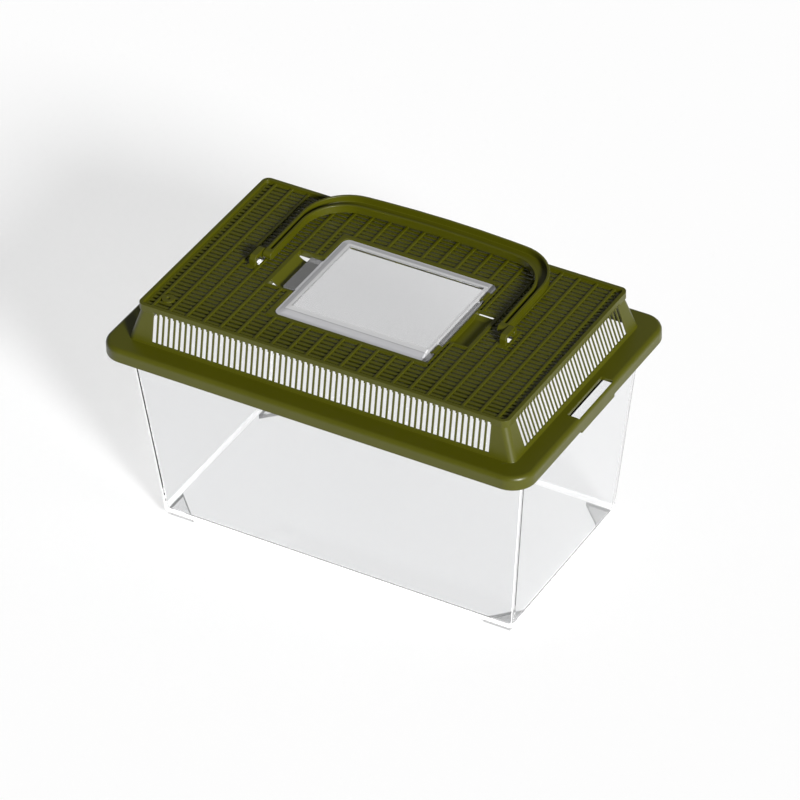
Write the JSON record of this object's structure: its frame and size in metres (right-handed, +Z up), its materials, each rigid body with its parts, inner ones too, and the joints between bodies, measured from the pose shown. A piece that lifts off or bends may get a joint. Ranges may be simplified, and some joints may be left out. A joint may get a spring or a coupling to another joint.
{
  "type": "plastic pet keeper",
  "caption": "Clear tapering tank with a slotted lid, a hinged window door and a folding carrying handle, for keeping small animals.",
  "frame": {"origin": "on the surface that the feet stand on, under the middle of the lid", "axes": "+X along the length, towards the door's hinge; +Y to the side that the handle folds to; +Z up"},
  "size_m": [0.23, 0.145, 0.1353],
  "materials": {
    "tank_plastic": "clear polished",
    "lid_plastic": "satin olive green",
    "door_plastic": "clear, lightly frosted at the edges"
  },
  "bodies": {
    "tank": {"tank": "tank_plastic"},
    "lid": {"lid_flange": "lid_plastic", "vent_wall_front": "lid_plastic", "vent_wall_back": "lid_plastic", "vent_wall_left": "lid_plastic", "vent_wall_right": "lid_plastic", "lid_rim": "lid_plastic", "grille_front": "lid_plastic", "grille_back": "lid_plastic", "grille_left": "lid_plastic", "grille_right": "lid_plastic", "grille_tongue_front": "lid_plastic", "grille_tongue_back": "lid_plastic", "grille_hinge_front": "lid_plastic", "grille_hinge_back": "lid_plastic", "window_seat": "lid_plastic", "handle_bracket_left": "lid_plastic", "handle_bracket_right": "lid_plastic"},
    "door": {"window_door": "door_plastic"},
    "handle": {"carry_handle": "lid_plastic"}
  },
  "joints": [
    {"name": "lid_lift", "type": "slide", "parent": "tank", "child": "lid", "axis": [0, 0, 1], "range_m": [0, 0.05]},
    {"name": "door_hinge", "type": "hinge", "parent": "lid", "child": "door", "pos_m": [0.0422, 0, 0.1283], "axis": [0, 1, 0], "range_deg": [0, 95]},
    {"name": "handle_pivot", "type": "hinge", "parent": "lid", "child": "handle", "pos_m": [0, 0.002, 0.132], "axis": [1, 0, 0], "range_deg": [0, 177]}
  ]
}
